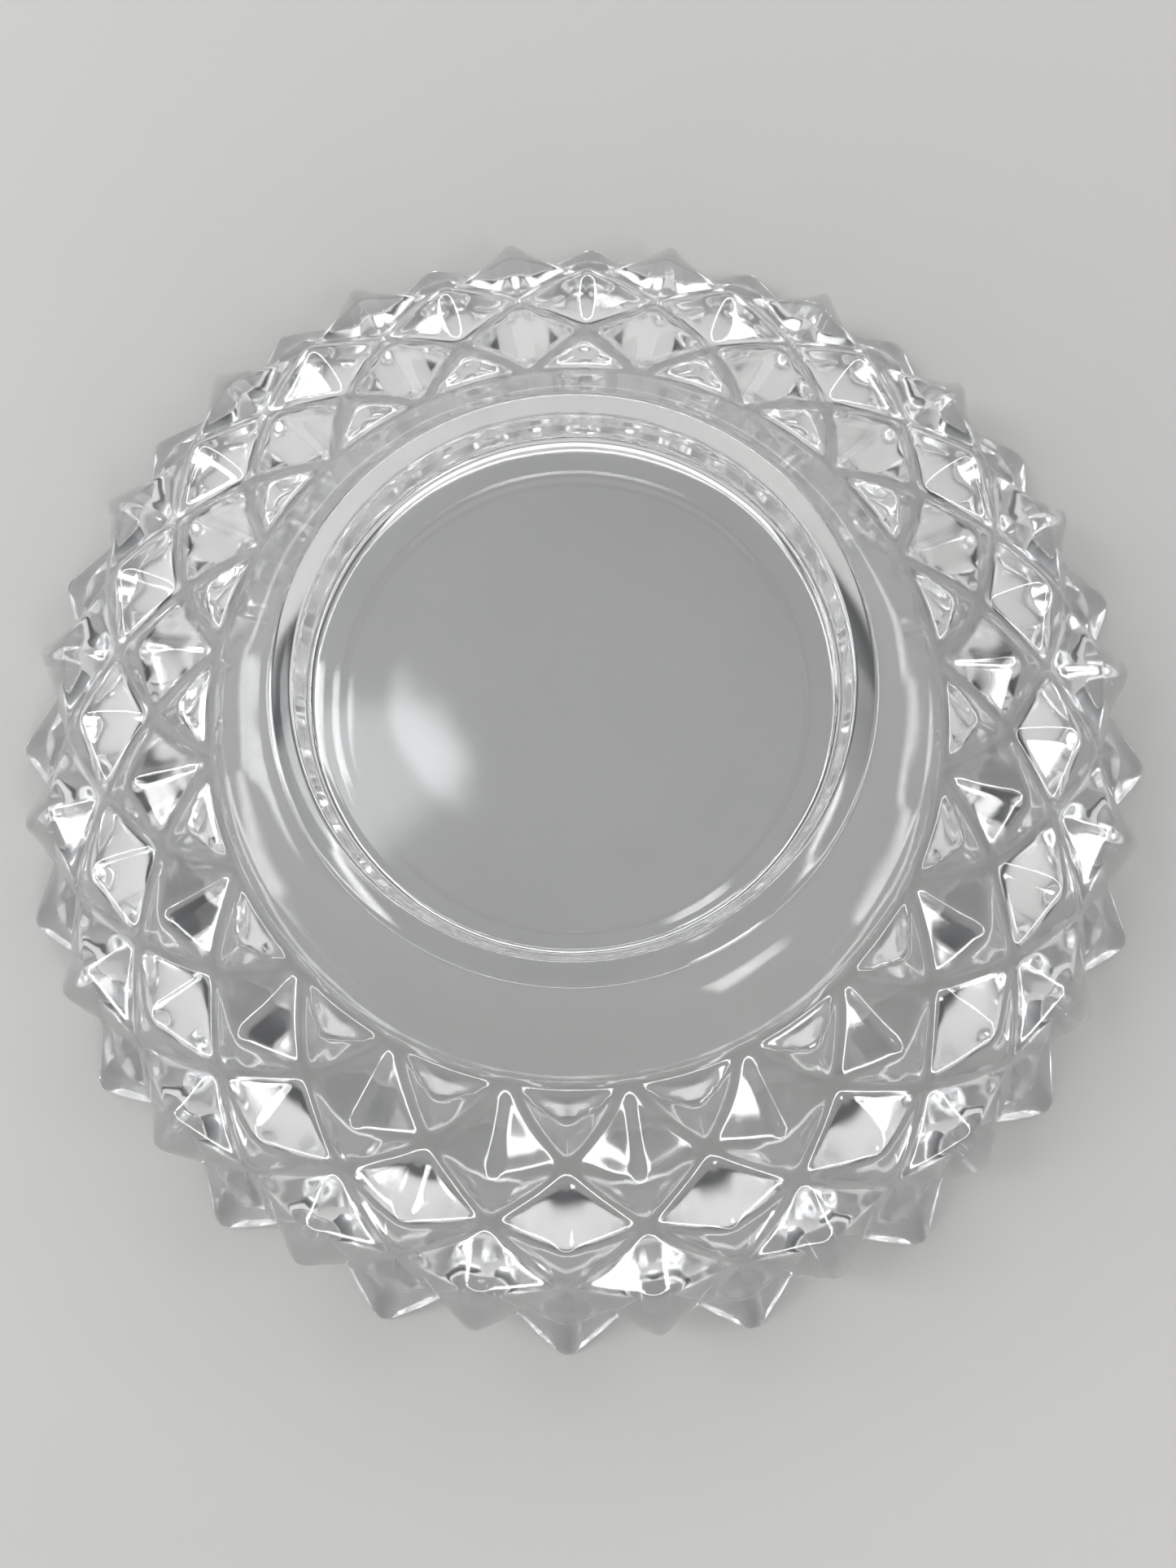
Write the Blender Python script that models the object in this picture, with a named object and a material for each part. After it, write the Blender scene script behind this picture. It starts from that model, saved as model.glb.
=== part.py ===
"""Pressed-glass bowl with diamond points, lying upside down: rim teeth on the ground, foot on top.

Units are metres, +Z is up and the axis of the bowl is the Z axis. Profile points are (radius, height).
Long teeth point along azimuth 0, 18, 36 ... degrees (counted from -Y towards +X), short teeth lie halfway.
"""

import math

import bmesh
import bpy
import numpy as np

# The pattern repeats this many times around the bowl.
REPEATS = 20
HALF_PITCH = 180.0 / REPEATS

# Foot, drawn from the centre of its underside outwards.
RECESS_FLOOR = (0.0424, 0.0624)
FOOT_FLAT_INNER = (0.0434, 0.0680)
FOOT_FLAT_OUTER = (0.0474, 0.0680)
FOOT_STEP = (0.0628, 0.0480)
FOOT_ROOT = (0.0636, 0.0463)
FOOT_EDGE_ROUND = 0.0008
RECESS_ROUND = 0.0018

# Valley level of the diamond rows, from the foot to the rim.
ROW_1 = (0.0790, 0.0347)
ROW_2 = (0.0910, 0.0272)
ROW_3 = (0.1033, 0.0168)

# How far a pyramid of each row stands out of the valley level: (outwards, upwards).
POINT_0 = (0.0017, 0.0030)
POINT_1 = (0.0030, 0.0048)
POINT_2 = (0.0028, 0.0058)
POINT_3 = (0.0013, 0.0060)
HALF_DIAMOND_PEAK = 0.34
HALF_DIAMOND_MARGIN = 0.08
VALLEY_SHARES = (0.14, 0.10, 0.08, 0.06)

# Saw-toothed rim: long tooth, notch and short tooth.
NOTCH_AZIMUTH = 4.95
LONG_POINT = (0.1140, 0.0066)
LONG_POINT_SHARE = 0.80
LONG_EDGE = (0.1171, 0.0036)
LONG_TIP = (0.1200, 0.0)
NOTCH_EDGE = (0.1102, 0.0082)
NOTCH_TIP = (0.1117, 0.0048)
SHORT_EDGE = (0.1125, 0.0141)
SHORT_TIP = (0.1139, 0.0112)
TOOTH_ROUND = 0.22
EDGE_ROUND = 0.0007

# Smooth inside of the bowl, from the centre to the rim.
INSIDE = (
    (0.0, 0.0562),
    (0.0180, 0.0562),
    (0.0350, 0.0561),
    (0.0440, 0.0543),
    (0.0525, 0.0490),
    (0.0640, 0.0400),
    (0.0768, 0.0306),
    (0.0884, 0.0225),
    (0.0985, 0.0136),
    (0.1100, 0.0000),
)
INSIDE_AT_LONG = 0.0
INSIDE_AT_NOTCH = 0.0042
INSIDE_AT_SHORT = 0.0104
INSIDE_RING = 0.0126

# How finely the surface is cut up, per half pitch and per row.
CELL_STEPS = 3
TOOTH_STEPS = 2
ROUND_STEPS = 1
INSIDE_STEPS = 7
CURVE_STEPS = 40
SHARP_ANGLE = 28.0
WELD_DISTANCE = 2e-6


def lerp(a, b, t):
    """Point between a and b; t may be an array."""
    a = np.asarray(a, float)
    b = np.asarray(b, float)
    t = np.asarray(t, float)[..., None]
    return a * (1.0 - t) + b * t


def curve_through(points, steps):
    """Smooth curve through the points, as steps samples between each two."""
    p = np.array(points, float)
    p = np.vstack([2 * p[0] - p[1], p, 2 * p[-1] - p[-2]])
    out = []
    for i in range(1, len(p) - 2):
        t = np.linspace(0.0, 1.0, steps, endpoint=False)[:, None]
        bend = 2 * p[i - 1] - 5 * p[i] + 4 * p[i + 1] - p[i + 2]
        twist = -p[i - 1] + 3 * p[i] - 3 * p[i + 1] + p[i + 2]
        out.append(0.5 * (2 * p[i] + (p[i + 1] - p[i - 1]) * t + bend * t * t + twist * t**3))
    out.append(p[-2:-1])
    return np.vstack(out)


def rounded_corner(before, corner, after, size, steps):
    """Points of a short arc that replaces the corner of a profile."""
    corner = np.asarray(corner, float)
    back = np.asarray(before, float) - corner
    ahead = np.asarray(after, float) - corner
    back = back / np.linalg.norm(back, axis=-1, keepdims=True)
    ahead = ahead / np.linalg.norm(ahead, axis=-1, keepdims=True)
    out = []
    for t in np.linspace(0.0, 1.0, steps + 1):
        out.append(corner + back * size * (1 - t) ** 2 + ahead * size * t**2)
    return out


def above_valley(g, share):
    """Share of the pyramid's height, with a flat valley of that share along the edge of the pyramid."""
    return np.clip((g - share) / (1.0 - share), 0.0, None)


def pyramid(x, y, row):
    """Height share of a pyramid of that row at x and y half diagonals from its point."""
    return above_valley(1.0 - x - y, VALLEY_SHARES[row])


def half_pyramid(x, y):
    """The same for the half diamonds that border on the foot: three faces instead of four."""
    side = (1.0 - x - y) / (1.0 - HALF_DIAMOND_PEAK)
    top = (y - HALF_DIAMOND_MARGIN) / (HALF_DIAMOND_PEAK - HALF_DIAMOND_MARGIN)
    both = np.minimum(side, top)
    return above_valley(both, VALLEY_SHARES[0])


def tooth(a):
    """Share of the way from notch to tooth tip; the tip is rounded."""
    lost = np.clip(TOOTH_ROUND - (1.0 - a), 0.0, None) ** 2 / (2.0 * TOOTH_ROUND)
    return (a - lost) / (1.0 - TOOTH_ROUND / 2.0)


def grid(azimuth, profile):
    """Array of (azimuth, radius, height)."""
    azimuth = np.broadcast_to(azimuth, profile.shape[:-1])
    return np.concatenate([azimuth[..., None], profile], axis=-1)


def diamond_rows():
    """The three full rows of cells between the foot and the rim, over half a pitch."""
    n = CELL_STEPS
    base = curve_through([FOOT_ROOT, ROW_1, ROW_2, ROW_3, NOTCH_EDGE], n)
    u = np.linspace(0.0, 1.0, n + 1)[None, :]
    v = np.linspace(0.0, 1.0, n + 1)[:, None]
    shares = [
        (half_pyramid(u, v), POINT_0, pyramid(1 - u, 1 - v, 1), POINT_1),
        (pyramid(1 - u, v, 1), POINT_1, pyramid(u, 1 - v, 2), POINT_2),
        (pyramid(u, v, 2), POINT_2, pyramid(1 - u, 1 - v, 3), POINT_3),
    ]
    cells = []
    for row, (upper, upper_point, lower, lower_point) in enumerate(shares):
        level = base[row * n : row * n + n + 1][:, None, :]
        above = upper[..., None] * np.array(upper_point)
        below = lower[..., None] * np.array(lower_point)
        cells.append(grid(u * HALF_PITCH, level + above + below))
    return cells


def rim_line(notch, short, long):
    """One line around the rim over half a pitch: long tooth, notch, short tooth."""
    a = np.linspace(0.0, 1.0, TOOTH_STEPS + 1)[::-1]
    b = np.linspace(0.0, 1.0, CELL_STEPS + 1)[1:]
    to_long = lerp(notch, long, tooth(a))
    to_short = lerp(notch, short, tooth(b))
    return np.vstack([to_long, to_short])


def rim_azimuths():
    """Azimuths of the points of a rim line."""
    a = np.linspace(0.0, NOTCH_AZIMUTH, TOOTH_STEPS + 1)
    b = np.linspace(NOTCH_AZIMUTH, HALF_PITCH, CELL_STEPS + 1)[1:]
    return np.concatenate([a, b])


def rim_sides(last_row, edge):
    """Lower half of the last pyramids, down to the edge line: short-tooth patch, long-tooth patch."""
    b = np.linspace(0.0, 1.0, CELL_STEPS + 1)[:, None]
    top = last_row[-1]
    azimuth = rim_azimuths()
    short = lerp(top[:, 1:], edge[TOOTH_STEPS:], b)
    short_azimuth = top[:, 0] * (1 - b) + azimuth[TOOTH_STEPS:] * b
    a = np.linspace(1.0, 0.0, TOOTH_STEPS + 1)[None, :]
    ridge = np.where(
        b[..., None] < LONG_POINT_SHARE,
        lerp(top[0, 1:], LONG_POINT, b / LONG_POINT_SHARE),
        lerp(LONG_POINT, edge[0], (b - LONG_POINT_SHARE) / (1.0 - LONG_POINT_SHARE)),
    )
    valley = lerp(top[0, 1:], edge[TOOTH_STEPS], b)
    share = np.clip(VALLEY_SHARES[3] * (1.0 - b) / np.maximum(b, 1e-9), 0.0, 0.999)
    soft = tooth(a) * b + a * (1.0 - b)
    raised = above_valley(soft, share)
    long = valley * (1 - raised[..., None]) + ridge * raised[..., None]
    long_azimuth = NOTCH_AZIMUTH * b * (1.0 - a)
    return grid(short_azimuth, short), grid(long_azimuth, long)


def inside_curve():
    """Profile of the inside, finely sampled, from the rim up to the centre."""
    return curve_through(INSIDE, CURVE_STEPS)[::-1]


def inside_at(curve, height):
    """Radius of the inside at a height near the rim."""
    return np.array([np.interp(height, curve[:, 1], curve[:, 0]), height])


def rim_and_inside(sides, edge, tip, hem):
    """Everything from the edge line round the teeth and up the inside to its centre."""
    before = np.vstack([sides[1][-2, :, 1:], sides[0][-2, 1:, 1:]])
    curve = inside_curve()
    start = np.searchsorted(curve[:, 1], INSIDE_RING)
    rings = [edge]
    rings += rounded_corner(edge, tip, hem, EDGE_ROUND, ROUND_STEPS)
    rings += rounded_corner(tip, hem, curve[start], EDGE_ROUND, ROUND_STEPS)
    rings = [np.broadcast_to(r, before.shape) for r in rings]
    pick = np.linspace(start, len(curve) - 1, INSIDE_STEPS + 1).round().astype(int)
    for point in curve[pick]:
        rings.append(np.broadcast_to(point, before.shape))
    return grid(rim_azimuths(), np.array(rings))


def foot():
    """Foot from the centre of its underside to the root, over half a pitch."""
    corners = [(0.0, RECESS_FLOOR[1]), RECESS_FLOOR, FOOT_FLAT_INNER, FOOT_FLAT_OUTER, FOOT_STEP]
    sizes = [RECESS_ROUND, FOOT_EDGE_ROUND, FOOT_EDGE_ROUND]
    points = [corners[0], lerp(corners[0], corners[1], 0.5)]
    for before, corner, after, size in zip(corners, corners[1:], corners[2:], sizes):
        points += rounded_corner(before, corner, after, size, ROUND_STEPS)
    points += rounded_corner(FOOT_FLAT_OUTER, FOOT_STEP, FOOT_ROOT, FOOT_EDGE_ROUND, ROUND_STEPS)
    points.append(np.array(FOOT_ROOT))
    profile = np.array(points)[:, None, :]
    azimuth = np.linspace(0.0, HALF_PITCH, CELL_STEPS + 1)
    return grid(azimuth, np.broadcast_to(profile, (len(points), CELL_STEPS + 1, 2)))


def half_sector():
    """All surface grids between a long tooth and the next short tooth."""
    cells = diamond_rows()
    edge = rim_line(NOTCH_EDGE, SHORT_EDGE, LONG_EDGE)
    tip = rim_line(NOTCH_TIP, SHORT_TIP, LONG_TIP)
    curve = inside_curve()
    hem_points = [inside_at(curve, h) for h in (INSIDE_AT_NOTCH, INSIDE_AT_SHORT, INSIDE_AT_LONG)]
    hem = rim_line(*hem_points)
    sides = rim_sides(cells[-1], edge)
    return cells, [foot(), *sides, rim_and_inside(sides, edge, tip, hem)]


def faces_of(points, first, slant):
    """Faces of a grid of points; slant cuts each quad along one of its diagonals."""
    rows, columns = points.shape[:2]
    i, j = np.meshgrid(np.arange(rows - 1), np.arange(columns - 1), indexing="ij")
    a = (first + i * columns + j).ravel()
    b = a + 1
    c = b + columns
    d = a + columns
    if slant is None:
        return np.stack([a, b, c, d], axis=1).tolist()
    if slant:
        return np.vstack([np.stack([a, b, c], 1), np.stack([a, c, d], 1)]).tolist()
    return np.vstack([np.stack([a, b, d], 1), np.stack([b, c, d], 1)]).tolist()


def whole_surface():
    """Points and faces of the closed surface, with double points where the sectors meet."""
    cells, others = half_sector()
    parts = list(zip(cells, (False, True, False)))
    parts += [(g, None) for g in others]
    points = []
    faces = []
    count = 0
    for repeat in range(REPEATS):
        for side in (1.0, -1.0):
            for part, slant in parts:
                turn = np.radians(repeat * 2.0 * HALF_PITCH + side * part[..., 0])
                radius = part[..., 1]
                place = np.stack([radius * np.sin(turn), -radius * np.cos(turn), part[..., 2]], -1)
                found = faces_of(place, count, slant)
                faces += found if side > 0 else [f[::-1] for f in found]
                points.append(place.reshape(-1, 3))
                count += place.shape[0] * place.shape[1]
    return np.vstack(points), faces


def glass():
    """Clear colourless glass."""
    material = bpy.data.materials.new("clear_pressed_glass")
    material.use_nodes = True
    shader = material.node_tree.nodes["Principled BSDF"]
    shader.inputs["Base Color"].default_value = (0.93, 0.95, 0.95, 1.0)
    shader.inputs["Roughness"].default_value = 0.03
    shader.inputs["IOR"].default_value = 1.52
    shader.inputs["Transmission Weight"].default_value = 1.0
    return material


def bowl():
    """The whole bowl is one pressing."""
    points, faces = whole_surface()
    mesh = bpy.data.meshes.new("pressed_glass_bowl")
    mesh.from_pydata(points.tolist(), [], faces)
    shape = bmesh.new()
    shape.from_mesh(mesh)
    bmesh.ops.remove_doubles(shape, verts=shape.verts, dist=WELD_DISTANCE)
    bmesh.ops.dissolve_degenerate(shape, edges=shape.edges, dist=WELD_DISTANCE / 2.0)
    bmesh.ops.recalc_face_normals(shape, faces=shape.faces)
    shape.to_mesh(mesh)
    shape.free()
    mesh.materials.append(glass())
    mesh.shade_smooth()
    mesh.set_sharp_from_angle(angle=math.radians(SHARP_ANGLE))
    piece = bpy.data.objects.new("pressed_glass_bowl", mesh)
    bpy.context.scene.collection.objects.link(piece)
    return piece


def main():
    for old in list(bpy.data.objects):
        bpy.data.objects.remove(old, do_unlink=True)
    bowl()


main()
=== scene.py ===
"""Looks of the pressed-glass bowl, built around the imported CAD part.

The bowl lies upside down, as the CAD node does. The glass is made again here as a fine mesh from the same
dimensions, with rounded ridges, points and edges, and it stands for the CAD node.
"""

import math

import bmesh
import bpy
import numpy as np
from mathutils import Matrix, Vector


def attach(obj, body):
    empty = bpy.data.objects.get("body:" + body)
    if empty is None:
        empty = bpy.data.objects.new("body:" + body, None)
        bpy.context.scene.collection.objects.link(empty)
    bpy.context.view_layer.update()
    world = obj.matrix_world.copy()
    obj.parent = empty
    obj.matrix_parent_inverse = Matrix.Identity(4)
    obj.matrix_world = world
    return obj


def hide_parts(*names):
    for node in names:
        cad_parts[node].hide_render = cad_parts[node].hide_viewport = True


NODE = "pressed_glass_bowl"

# The pattern repeats this many times around the bowl.
REPEATS = 20
HALF_PITCH = 180.0 / REPEATS

# Foot, drawn from the centre of its underside outwards.
RECESS_FLOOR = (0.0424, 0.0624)
FOOT_FLAT_INNER = (0.0434, 0.0680)
FOOT_FLAT_OUTER = (0.0474, 0.0680)
FOOT_STEP = (0.0628, 0.0480)
FOOT_ROOT = (0.0636, 0.0463)
FOOT_EDGE_ROUND = 0.0008
RECESS_ROUND = 0.0018

# Valley level of the diamond rows, from the foot to the rim.
ROW_1 = (0.0790, 0.0347)
ROW_2 = (0.0910, 0.0272)
ROW_3 = (0.1033, 0.0168)

# How far a pyramid of each row stands out of the valley level: (outwards, upwards).
POINT_0 = (0.0017, 0.0030)
POINT_1 = (0.0030, 0.0048)
POINT_2 = (0.0028, 0.0058)
POINT_3 = (0.0013, 0.0060)
HALF_DIAMOND_PEAK = 0.34
HALF_DIAMOND_MARGIN = 0.08
VALLEY_SHARES = (0.14, 0.10, 0.08, 0.06)

# Saw-toothed rim: long tooth, notch and short tooth.
NOTCH_AZIMUTH = 4.95
LONG_POINT = (0.1140, 0.0066)
LONG_POINT_SHARE = 0.80
LONG_EDGE = (0.1171, 0.0036)
LONG_TIP = (0.1200, 0.0)
NOTCH_EDGE = (0.1102, 0.0082)
NOTCH_TIP = (0.1117, 0.0048)
SHORT_EDGE = (0.1125, 0.0141)
SHORT_TIP = (0.1139, 0.0112)
TOOTH_ROUND = 0.22
EDGE_ROUND = 0.0007

# Smooth inside of the bowl, from the centre to the rim.
INSIDE = (
    (0.0, 0.0562),
    (0.0180, 0.0562),
    (0.0350, 0.0561),
    (0.0440, 0.0543),
    (0.0525, 0.0490),
    (0.0640, 0.0400),
    (0.0768, 0.0306),
    (0.0884, 0.0225),
    (0.0985, 0.0136),
    (0.1100, 0.0000),
)
INSIDE_AT_LONG = 0.0
INSIDE_AT_NOTCH = 0.0042
INSIDE_AT_SHORT = 0.0104
INSIDE_RING = 0.0126

# How finely the surface is cut up, per half pitch and per row.
CELL_STEPS = 16
TOOTH_STEPS = 8
ROUND_STEPS = 4
FOOT_STEPS = 8
INSIDE_STEPS = 22
CURVE_STEPS = 40
RIDGE_ROUND = 0.12
VALLEY_ROUND = 0.06
WELD_DISTANCE = 2e-6

# Unevenness of the glass: lengths of its waves, their depth, and how many depths it lies inwards.
WAVE_LENGTHS = (0.018, 0.010)
WAVES_PER_LENGTH = 4
WAVE_SEED = 7
WAVE_DEPTH = 0.00015
WAVE_INSET = 1.5

# It grows from a small share in the middle of the base, and ends below the flat ring of the foot.
CALM_RADIUS = 0.030
CALM_FADE = 0.020
CALM_SHARE = 0.15
WAVE_TOP = 0.0665
WAVE_TOP_FADE = 0.004

# Surroundings.
FLOOR_SIZE = 60.0
FLOOR_GAP = 0.0002
FLOOR_COLOUR = (0.25, 0.245, 0.237, 1.0)
FLOOR_ROUGHNESS = 0.6
HORIZON = (0.05, (0.045, 0.046, 0.048, 1.0))
ZENITH = (0.75, (0.62, 0.64, 0.66, 1.0))
DAYLIGHT = (0.95, 0.98, 1.0)

# Thin ring of light round the bowl, lower in front than behind.
RING_LAMPS = 16
RING_RADIUS = 1.20
RING_HEIGHT = 0.68
RING_TILT = 0.22
RING_WIDTH = 0.08
RING_POWER = 2.4
RING_TARGET = (0, 0, 0.03)

# The photograph's viewpoint: place and axes of the camera, lens and sensor in millimetres.
CAMERA_PLACE = (0.00528, -0.04513, 0.23832)
CAMERA_RIGHT = (0.999725, 0.020418, -0.011559)
CAMERA_UP = (-0.018247, 0.986291, 0.164020)
CAMERA_BACK = (0.014749, -0.163764, 0.986392)
CAMERA_LENS = 25.99
CAMERA_SENSOR = 36.0
CAMERA_CLIP = 0.01

# How often light may bounce or pass a glass face.
GLASS_BOUNCES = 24
GLOSSY_BOUNCES = 12


def lerp(a, b, t):
    """Point between a and b; t may be an array."""
    a = np.asarray(a, float)
    b = np.asarray(b, float)
    t = np.asarray(t, float)[..., None]
    return a * (1.0 - t) + b * t


def curve_through(points, steps):
    """Smooth curve through the points, as steps samples between each two."""
    p = np.array(points, float)
    p = np.vstack([2 * p[0] - p[1], p, 2 * p[-1] - p[-2]])
    out = []
    for i in range(1, len(p) - 2):
        t = np.linspace(0.0, 1.0, steps, endpoint=False)[:, None]
        bend = 2 * p[i - 1] - 5 * p[i] + 4 * p[i + 1] - p[i + 2]
        twist = -p[i - 1] + 3 * p[i] - 3 * p[i + 1] + p[i + 2]
        out.append(0.5 * (2 * p[i] + (p[i + 1] - p[i - 1]) * t + bend * t * t + twist * t**3))
    out.append(p[-2:-1])
    return np.vstack(out)


def rounded_corner(before, corner, after, size, steps):
    """Points of a short arc that replaces the corner of a profile."""
    corner = np.asarray(corner, float)
    back = np.asarray(before, float) - corner
    ahead = np.asarray(after, float) - corner
    back = back / np.linalg.norm(back, axis=-1, keepdims=True)
    ahead = ahead / np.linalg.norm(ahead, axis=-1, keepdims=True)
    out = []
    for t in np.linspace(0.0, 1.0, steps + 1):
        out.append(corner + back * size * (1 - t) ** 2 + ahead * size * t**2)
    return out


def soft_ridge(distance):
    """How much a ridge loses of its height, near its crest, by being rounded."""
    return np.clip(RIDGE_ROUND - distance, 0.0, None) ** 2 / (2.0 * RIDGE_ROUND)


def above_valley(g, share):
    """Share of the pyramid's height, with a flat valley of that share along the edge of the pyramid."""
    t = (g - share) / (1.0 - share)
    soft = (t + VALLEY_ROUND) ** 2 / (4.0 * VALLEY_ROUND)
    return np.where(t > VALLEY_ROUND, t, np.where(t < -VALLEY_ROUND, 0.0, soft))


def pyramid(x, y, row):
    """Height share of a pyramid of that row at x and y half diagonals from its point."""
    return above_valley(1.0 - x - y - soft_ridge(x) - soft_ridge(y), VALLEY_SHARES[row])


def half_pyramid(x, y):
    """The same for the half diamonds that border on the foot: three faces instead of four."""
    side = (1.0 - x - y - soft_ridge(x)) / (1.0 - HALF_DIAMOND_PEAK)
    top = (y - HALF_DIAMOND_MARGIN) / (HALF_DIAMOND_PEAK - HALF_DIAMOND_MARGIN)
    both = np.minimum(side, top)
    return above_valley(both, VALLEY_SHARES[0])


def tooth(a):
    """Share of the way from notch to tooth tip; the tip is rounded."""
    lost = np.clip(TOOTH_ROUND - (1.0 - a), 0.0, None) ** 2 / (2.0 * TOOTH_ROUND)
    return (a - lost) / (1.0 - TOOTH_ROUND / 2.0)


def grid(azimuth, profile):
    """Array of (azimuth, radius, height)."""
    azimuth = np.broadcast_to(azimuth, profile.shape[:-1])
    return np.concatenate([azimuth[..., None], profile], axis=-1)


def diamond_rows():
    """The three full rows of cells between the foot and the rim, over half a pitch."""
    n = CELL_STEPS
    base = curve_through([FOOT_ROOT, ROW_1, ROW_2, ROW_3, NOTCH_EDGE], n)
    u = np.linspace(0.0, 1.0, n + 1)[None, :]
    v = np.linspace(0.0, 1.0, n + 1)[:, None]
    shares = [
        (half_pyramid(u, v), POINT_0, pyramid(1 - u, 1 - v, 1), POINT_1),
        (pyramid(1 - u, v, 1), POINT_1, pyramid(u, 1 - v, 2), POINT_2),
        (pyramid(u, v, 2), POINT_2, pyramid(1 - u, 1 - v, 3), POINT_3),
    ]
    cells = []
    for row, (upper, upper_point, lower, lower_point) in enumerate(shares):
        level = base[row * n : row * n + n + 1][:, None, :]
        above = upper[..., None] * np.array(upper_point)
        below = lower[..., None] * np.array(lower_point)
        cells.append(grid(u * HALF_PITCH, level + above + below))
    return cells


def rim_line(notch, short, long):
    """One line around the rim over half a pitch: long tooth, notch, short tooth."""
    a = np.linspace(0.0, 1.0, TOOTH_STEPS + 1)[::-1]
    b = np.linspace(0.0, 1.0, CELL_STEPS + 1)[1:]
    to_long = lerp(notch, long, tooth(a))
    to_short = lerp(notch, short, tooth(b))
    return np.vstack([to_long, to_short])


def rim_azimuths():
    """Azimuths of the points of a rim line."""
    a = np.linspace(0.0, NOTCH_AZIMUTH, TOOTH_STEPS + 1)
    b = np.linspace(NOTCH_AZIMUTH, HALF_PITCH, CELL_STEPS + 1)[1:]
    return np.concatenate([a, b])


def rim_sides(last_row, edge):
    """Lower half of the last pyramids, down to the edge line: short-tooth patch, long-tooth patch."""
    b = np.linspace(0.0, 1.0, CELL_STEPS + 1)[:, None]
    top = last_row[-1]
    azimuth = rim_azimuths()
    short = lerp(top[:, 1:], edge[TOOTH_STEPS:], b)
    short_azimuth = top[:, 0] * (1 - b) + azimuth[TOOTH_STEPS:] * b
    a = np.linspace(1.0, 0.0, TOOTH_STEPS + 1)[None, :]
    ridge = np.where(
        b[..., None] < LONG_POINT_SHARE,
        lerp(top[0, 1:], LONG_POINT, b / LONG_POINT_SHARE),
        lerp(LONG_POINT, edge[0], (b - LONG_POINT_SHARE) / (1.0 - LONG_POINT_SHARE)),
    )
    valley = lerp(top[0, 1:], edge[TOOTH_STEPS], b)
    share = np.clip(VALLEY_SHARES[3] * (1.0 - b) / np.maximum(b, 1e-9), 0.0, 0.999)
    soft = tooth(a) * b + (a - soft_ridge(1.0 - a)) * (1.0 - b)
    # The line down to the notch stays in the valley, where the two patches meet.
    raised = np.where(a > 0.0, above_valley(soft, share), 0.0)
    long = valley * (1 - raised[..., None]) + ridge * raised[..., None]
    long_azimuth = NOTCH_AZIMUTH * b * (1.0 - a)
    return grid(short_azimuth, short), grid(long_azimuth, long)


def inside_curve():
    """Profile of the inside, finely sampled, from the rim up to the centre."""
    return curve_through(INSIDE, CURVE_STEPS)[::-1]


def inside_at(curve, height):
    """Radius of the inside at a height near the rim."""
    return np.array([np.interp(height, curve[:, 1], curve[:, 0]), height])


def rim_and_inside(sides, edge, tip, hem):
    """Everything from the edge line round the teeth and up the inside to its centre."""
    before = np.vstack([sides[1][-2, :, 1:], sides[0][-2, 1:, 1:]])
    curve = inside_curve()
    start = np.searchsorted(curve[:, 1], INSIDE_RING)
    rings = [edge]
    rings += rounded_corner(edge, tip, hem, EDGE_ROUND, ROUND_STEPS)
    rings += rounded_corner(tip, hem, curve[start], EDGE_ROUND, ROUND_STEPS)
    rings = [np.broadcast_to(r, before.shape) for r in rings]
    pick = np.linspace(start, len(curve) - 1, INSIDE_STEPS + 1).round().astype(int)
    for point in curve[pick]:
        rings.append(np.broadcast_to(point, before.shape))
    return grid(rim_azimuths(), np.array(rings))


def foot():
    """Foot from the centre of its underside to the root, over half a pitch."""
    corners = [(0.0, RECESS_FLOOR[1]), RECESS_FLOOR, FOOT_FLAT_INNER, FOOT_FLAT_OUTER, FOOT_STEP]
    sizes = [RECESS_ROUND, FOOT_EDGE_ROUND, FOOT_EDGE_ROUND]
    points = [corners[0], lerp(corners[0], corners[1], 0.5)]
    for before, corner, after, size in zip(corners, corners[1:], corners[2:], sizes):
        points += rounded_corner(before, corner, after, size, ROUND_STEPS)
    for t in np.linspace(0.0, 1.0, FOOT_STEPS + 1)[1:-1]:
        points.append(lerp(FOOT_FLAT_OUTER, FOOT_STEP, t))
    points += rounded_corner(FOOT_FLAT_OUTER, FOOT_STEP, FOOT_ROOT, FOOT_EDGE_ROUND, ROUND_STEPS)
    points.append(np.array(FOOT_ROOT))
    profile = np.array(points)[:, None, :]
    azimuth = np.linspace(0.0, HALF_PITCH, CELL_STEPS + 1)
    return grid(azimuth, np.broadcast_to(profile, (len(points), CELL_STEPS + 1, 2)))


def half_sector():
    """All surface grids between a long tooth and the next short tooth."""
    cells = diamond_rows()
    edge = rim_line(NOTCH_EDGE, SHORT_EDGE, LONG_EDGE)
    tip = rim_line(NOTCH_TIP, SHORT_TIP, LONG_TIP)
    curve = inside_curve()
    hem_points = [inside_at(curve, h) for h in (INSIDE_AT_NOTCH, INSIDE_AT_SHORT, INSIDE_AT_LONG)]
    hem = rim_line(*hem_points)
    sides = rim_sides(cells[-1], edge)
    return cells, [foot(), *sides, rim_and_inside(sides, edge, tip, hem)]


def faces_of(points, first, slant):
    """Faces of a grid of points; slant cuts each quad along one of its diagonals."""
    rows, columns = points.shape[:2]
    i, j = np.meshgrid(np.arange(rows - 1), np.arange(columns - 1), indexing="ij")
    a = (first + i * columns + j).ravel()
    b = a + 1
    c = b + columns
    d = a + columns
    if slant is None:
        return np.stack([a, b, c, d], axis=1).tolist()
    if slant:
        return np.vstack([np.stack([a, b, c], 1), np.stack([a, c, d], 1)]).tolist()
    return np.vstack([np.stack([a, b, d], 1), np.stack([b, c, d], 1)]).tolist()


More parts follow.
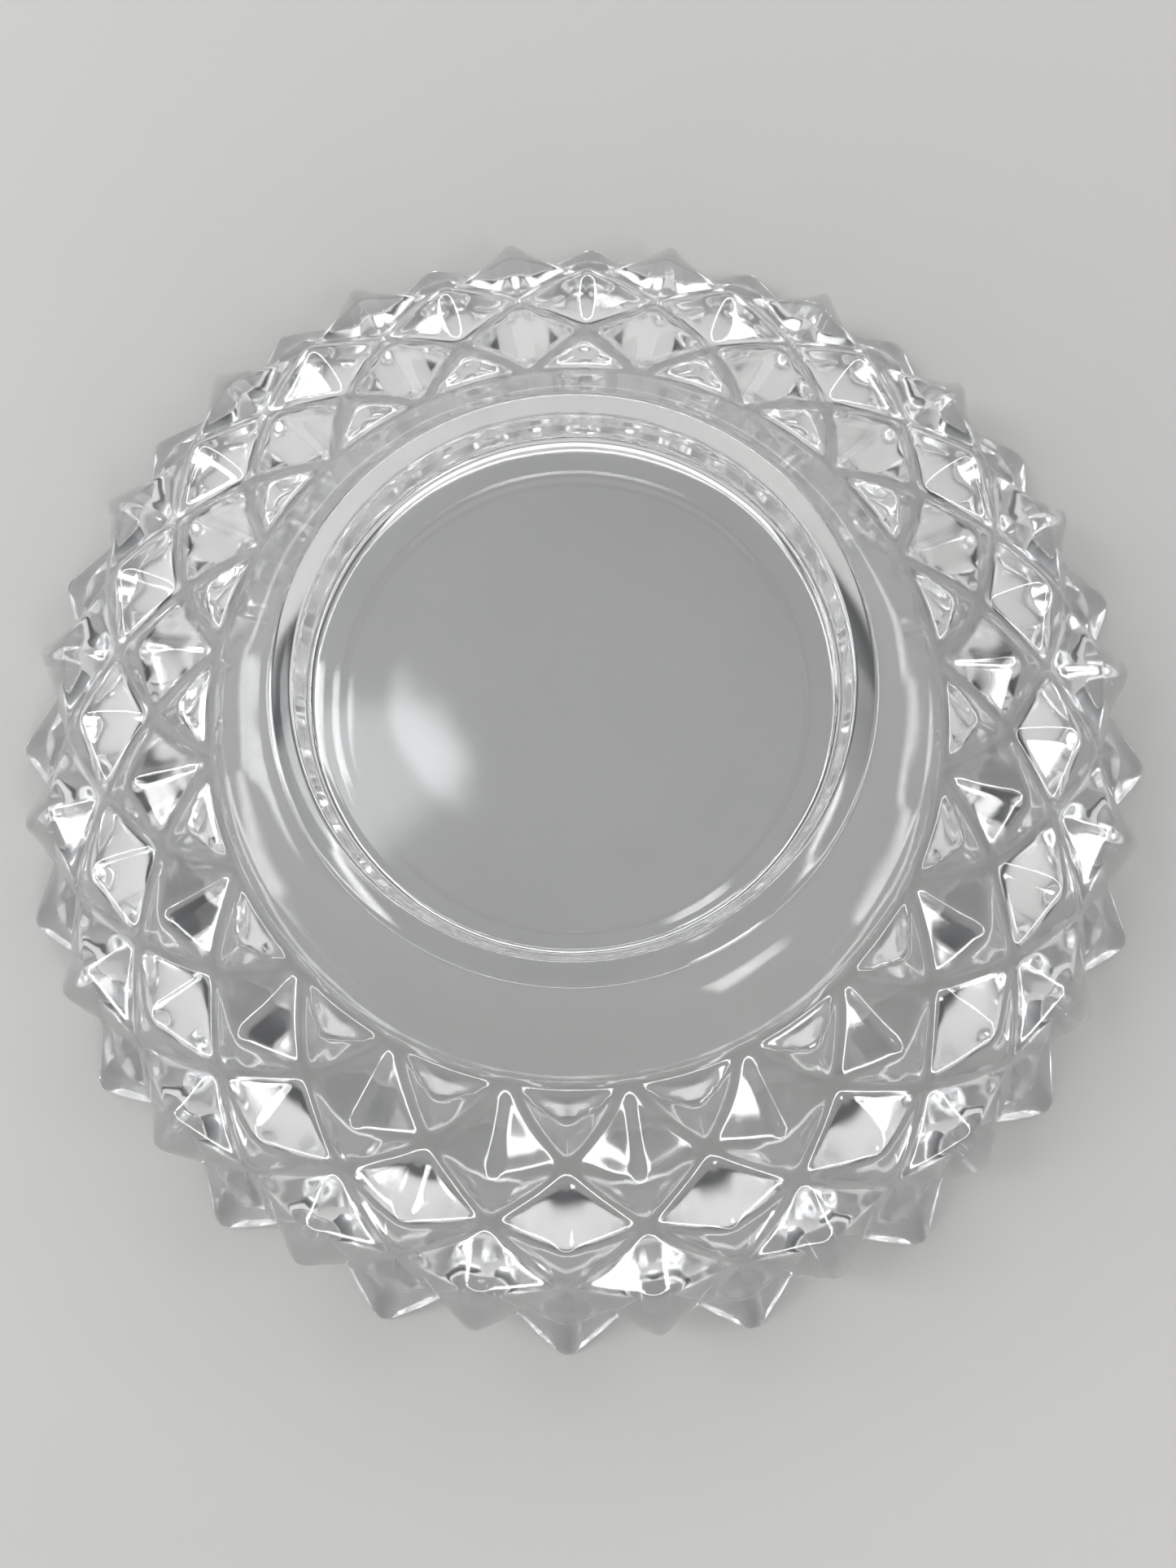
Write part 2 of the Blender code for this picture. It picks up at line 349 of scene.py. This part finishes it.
def whole_surface():
    """Points and faces of the closed surface, with double points where the sectors meet."""
    cells, others = half_sector()
    parts = list(zip(cells, (False, True, False)))
    parts += [(g, None) for g in others]
    points = []
    faces = []
    count = 0
    for repeat in range(REPEATS):
        for side in (1.0, -1.0):
            for part, slant in parts:
                turn = np.radians(repeat * 2.0 * HALF_PITCH + side * part[..., 0])
                radius = part[..., 1]
                place = np.stack([radius * np.sin(turn), -radius * np.cos(turn), part[..., 2]], -1)
                found = faces_of(place, count, slant)
                faces += found if side > 0 else [f[::-1] for f in found]
                points.append(place.reshape(-1, 3))
                count += place.shape[0] * place.shape[1]
    return np.vstack(points), faces


def glass():
    """Clear colourless glass."""
    material = bpy.data.materials.new("clear_pressed_glass")
    material.use_nodes = True
    shader = material.node_tree.nodes["Principled BSDF"]
    shader.inputs["Base Color"].default_value = (0.99, 0.995, 0.995, 1.0)
    shader.inputs["Roughness"].default_value = 0.08
    shader.inputs["IOR"].default_value = 1.52
    shader.inputs["Transmission Weight"].default_value = 1.0
    return material


def waviness(points):
    """Slight unevenness of pressed glass at each point: a few crossing waves, from -1 to 1."""
    rng = np.random.default_rng(WAVE_SEED)
    wave = np.zeros(len(points))
    for length in WAVE_LENGTHS:
        for _ in range(WAVES_PER_LENGTH):
            direction = rng.normal(size=3)
            direction *= 2.0 * math.pi / (length * np.linalg.norm(direction))
            wave += np.sin(points @ direction + rng.uniform(0.0, 6.28)) * length
    return wave / np.abs(wave).max()


def wave_share(places):
    """Share of the unevenness at each point: little on the base, none on the flat ring of the foot."""
    radius = np.hypot(places[:, 0], places[:, 1])
    from_base = np.clip((radius - CALM_RADIUS) / CALM_FADE, CALM_SHARE, 1.0)
    below_foot = np.clip((WAVE_TOP - places[:, 2]) / WAVE_TOP_FADE, 0.0, 1.0)
    return from_base * below_foot


def fine_bowl():
    """The bowl as one closed mesh."""
    points, faces = whole_surface()
    mesh = bpy.data.meshes.new("glass_bowl")
    mesh.from_pydata(points.tolist(), [], faces)
    shape = bmesh.new()
    shape.from_mesh(mesh)
    bmesh.ops.remove_doubles(shape, verts=shape.verts, dist=WELD_DISTANCE)
    bmesh.ops.dissolve_degenerate(shape, edges=shape.edges, dist=WELD_DISTANCE / 2.0)
    bmesh.ops.recalc_face_normals(shape, faces=shape.faces)
    shape.verts.ensure_lookup_table()
    places = np.array([v.co for v in shape.verts])
    normals = np.array([v.normal for v in shape.verts])
    depth = WAVE_DEPTH * wave_share(places) * (waviness(places) - WAVE_INSET)
    for vertex, place in zip(shape.verts, places + normals * depth[:, None]):
        vertex.co = place
    shape.to_mesh(mesh)
    shape.free()
    mesh.materials.append(glass())
    mesh.shade_smooth()
    piece = bpy.data.objects.new("glass_bowl", mesh)
    bpy.context.scene.collection.objects.link(piece)
    return piece


def floor():
    """Plain pale floor, just under the teeth."""
    bpy.ops.mesh.primitive_plane_add(size=FLOOR_SIZE, location=(0, 0, -FLOOR_GAP))
    plane = bpy.context.object
    plane.name = "floor"
    material = bpy.data.materials.new("pale_floor")
    material.use_nodes = True
    shader = material.node_tree.nodes["Principled BSDF"]
    shader.inputs["Base Color"].default_value = FLOOR_COLOUR
    shader.inputs["Roughness"].default_value = FLOOR_ROUGHNESS
    plane.data.materials.append(material)


def area_light(name, place, target, size, power, colour=(1, 1, 1)):
    """Rectangular lamp at a place, turned to the target."""
    lamp = bpy.data.lights.new(name, "AREA")
    lamp.shape = "RECTANGLE"
    lamp.size, lamp.size_y = size
    lamp.energy = power
    lamp.color = colour
    obj = bpy.data.objects.new(name, lamp)
    bpy.context.scene.collection.objects.link(obj)
    obj.location = place
    aim = Vector(target) - Vector(place)
    obj.rotation_euler = aim.to_track_quat("-Z", "Y").to_euler()
    return obj


def room():
    """A plain room: pale overhead and darker towards the horizon."""
    world = bpy.data.worlds.new("room")
    bpy.context.scene.world = world
    world.use_nodes = True
    tree = world.node_tree
    where = tree.nodes.new("ShaderNodeTexCoord")
    split = tree.nodes.new("ShaderNodeSeparateXYZ")
    shade = tree.nodes.new("ShaderNodeValToRGB")
    for stop, (position, colour) in zip(shade.color_ramp.elements, (HORIZON, ZENITH)):
        stop.position = position
        stop.color = colour
    tree.links.new(where.outputs["Generated"], split.inputs["Vector"])
    tree.links.new(split.outputs["Z"], shade.inputs["Fac"])
    tree.links.new(shade.outputs["Color"], tree.nodes["Background"].inputs["Color"])


def studio():
    """Soft fill from windows and a wall, and a thin ring of light that draws the ridges of the glass."""
    room()
    area_light("back_wall", (0.0, 0.9, 0.40), (0, 0, 0.05), (1.6, 0.6), 2.8)
    area_light("window", (-0.8, 0.1, 0.8), (0, 0, 0), (0.35, 0.45), 7.0, DAYLIGHT)
    area_light("overhead", (0.5, -0.6, 0.9), (0, 0, 0), (0.25, 0.25), 4.0)
    skylight = area_light("skylight", (-0.18, 0.14, 0.8), (0, 0, 0.06), (0.10, 0.16), 0.22, DAYLIGHT)
    skylight.data.shape = "ELLIPSE"
    length = 2.0 * RING_RADIUS * math.tan(math.pi / RING_LAMPS)
    for turn in range(RING_LAMPS):
        angle = 2.0 * math.pi * (turn + 0.5) / RING_LAMPS
        height = RING_HEIGHT - RING_TILT * math.cos(angle)
        place = (RING_RADIUS * math.sin(angle), -RING_RADIUS * math.cos(angle), height)
        area_light(f"ring_{turn}", place, RING_TARGET, (length, RING_WIDTH), RING_POWER)
    bpy.context.scene.view_settings.view_transform = "Standard"


def camera():
    """The photograph's viewpoint: close above the bowl and nearly straight down."""
    data = bpy.data.cameras.new("camera")
    data.lens = CAMERA_LENS
    data.sensor_width = CAMERA_SENSOR
    data.clip_start = CAMERA_CLIP
    obj = bpy.data.objects.new("camera", data)
    bpy.context.scene.collection.objects.link(obj)
    turn = Matrix((CAMERA_RIGHT, CAMERA_UP, CAMERA_BACK)).transposed().to_4x4()
    obj.matrix_world = Matrix.Translation(CAMERA_PLACE) @ turn
    bpy.context.scene.camera = obj


def paths():
    """Light has to get through many glass faces."""
    cycles = bpy.context.scene.cycles
    cycles.max_bounces = GLASS_BOUNCES
    cycles.transmission_bounces = GLASS_BOUNCES
    cycles.glossy_bounces = GLOSSY_BOUNCES
    cycles.transparent_max_bounces = GLASS_BOUNCES


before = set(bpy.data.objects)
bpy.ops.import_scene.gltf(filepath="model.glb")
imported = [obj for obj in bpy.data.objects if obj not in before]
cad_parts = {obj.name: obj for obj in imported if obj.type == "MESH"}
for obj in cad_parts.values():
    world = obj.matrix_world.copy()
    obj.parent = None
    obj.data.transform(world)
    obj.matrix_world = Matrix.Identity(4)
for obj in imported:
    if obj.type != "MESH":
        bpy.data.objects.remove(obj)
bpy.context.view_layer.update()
bowl = fine_bowl()
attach(bowl, "root")
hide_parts(NODE)
floor()
studio()
camera()
paths()
